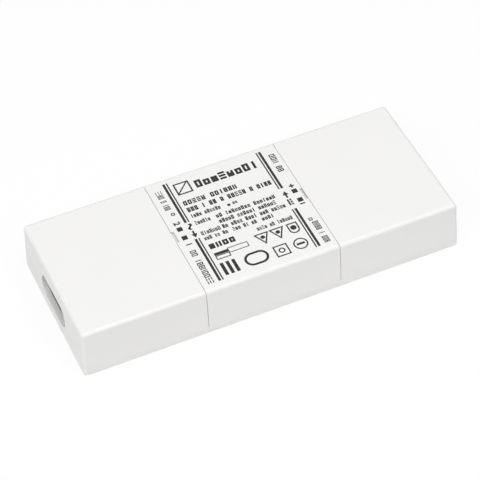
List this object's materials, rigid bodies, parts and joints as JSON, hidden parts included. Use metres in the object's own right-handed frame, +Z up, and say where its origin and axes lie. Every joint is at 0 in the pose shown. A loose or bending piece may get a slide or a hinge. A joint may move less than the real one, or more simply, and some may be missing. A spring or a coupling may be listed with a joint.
{
  "type": "led driver",
  "caption": "Flat plastic LED driver with a middle cover, latched terminal covers, cable entries and clamps at both ends, and its circuit board inside",
  "frame": {"origin": "middle of the flat underside", "axes": "+X runs from the mains end to the lamp end, +Z is up, -Y is the long side that faces the viewer"},
  "size_m": [0.122, 0.05, 0.017],
  "materials": {
    "housing": "white moulded plastic, satin",
    "board": "green solder mask",
    "clamp": "white moulded plastic",
    "screw_steel": "zinc plated",
    "terminal": "grey moulded plastic",
    "terminal_brass": "tinned",
    "black_moulding": "black moulded plastic",
    "blue_coating": "blue dipped coating",
    "yellow_case": "yellow case or tape",
    "brown_coating": "brown dipped coating",
    "ferrite": "dark sintered ferrite",
    "dark_sleeve": "dark shrink sleeve",
    "chip_body": "glazed chip"
  },
  "bodies": {
    "root": {"base": "housing", "centre_cover": "housing", "input_cover": "housing", "output_cover": "housing", "circuit_board": "board", "input_cable_clamp": "clamp", "output_cable_clamp": "clamp", "input_clamp_screw_1": "screw_steel", "input_clamp_screw_2": "screw_steel", "output_clamp_screw_1": "screw_steel", "output_clamp_screw_2": "screw_steel", "input_terminal_block": "terminal", "output_terminal_block": "terminal", "input_terminal_cage_1": "terminal_brass", "input_terminal_cage_2": "terminal_brass", "output_terminal_cage_1": "terminal_brass", "output_terminal_cage_2": "terminal_brass", "input_terminal_screw_1": "screw_steel", "input_terminal_screw_2": "screw_steel", "output_terminal_screw_1": "screw_steel", "output_terminal_screw_2": "screw_steel", "mains_fuse": "black_moulding", "surge_varistor": "blue_coating", "filter_capacitor": "yellow_case", "filter_choke_1": "dark_sleeve", "filter_choke_2": "dark_sleeve", "bridge_rectifier": "black_moulding", "bus_capacitor": "brown_coating", "supply_capacitor": "dark_sleeve", "transformer_former": "black_moulding", "transformer_winding": "yellow_case", "transformer_core_left": "ferrite", "transformer_core_right": "ferrite", "controller": "black_moulding", "optocoupler": "black_moulding", "safety_capacitor": "blue_coating", "output_rectifier": "black_moulding", "output_choke": "dark_sleeve", "output_capacitor_1": "dark_sleeve", "output_capacitor_2": "dark_sleeve", "chip_resistor_1": "chip_body", "chip_resistor_2": "chip_body", "chip_resistor_3": "chip_body", "chip_resistor_4": "chip_body"}
  },
  "joints": []
}
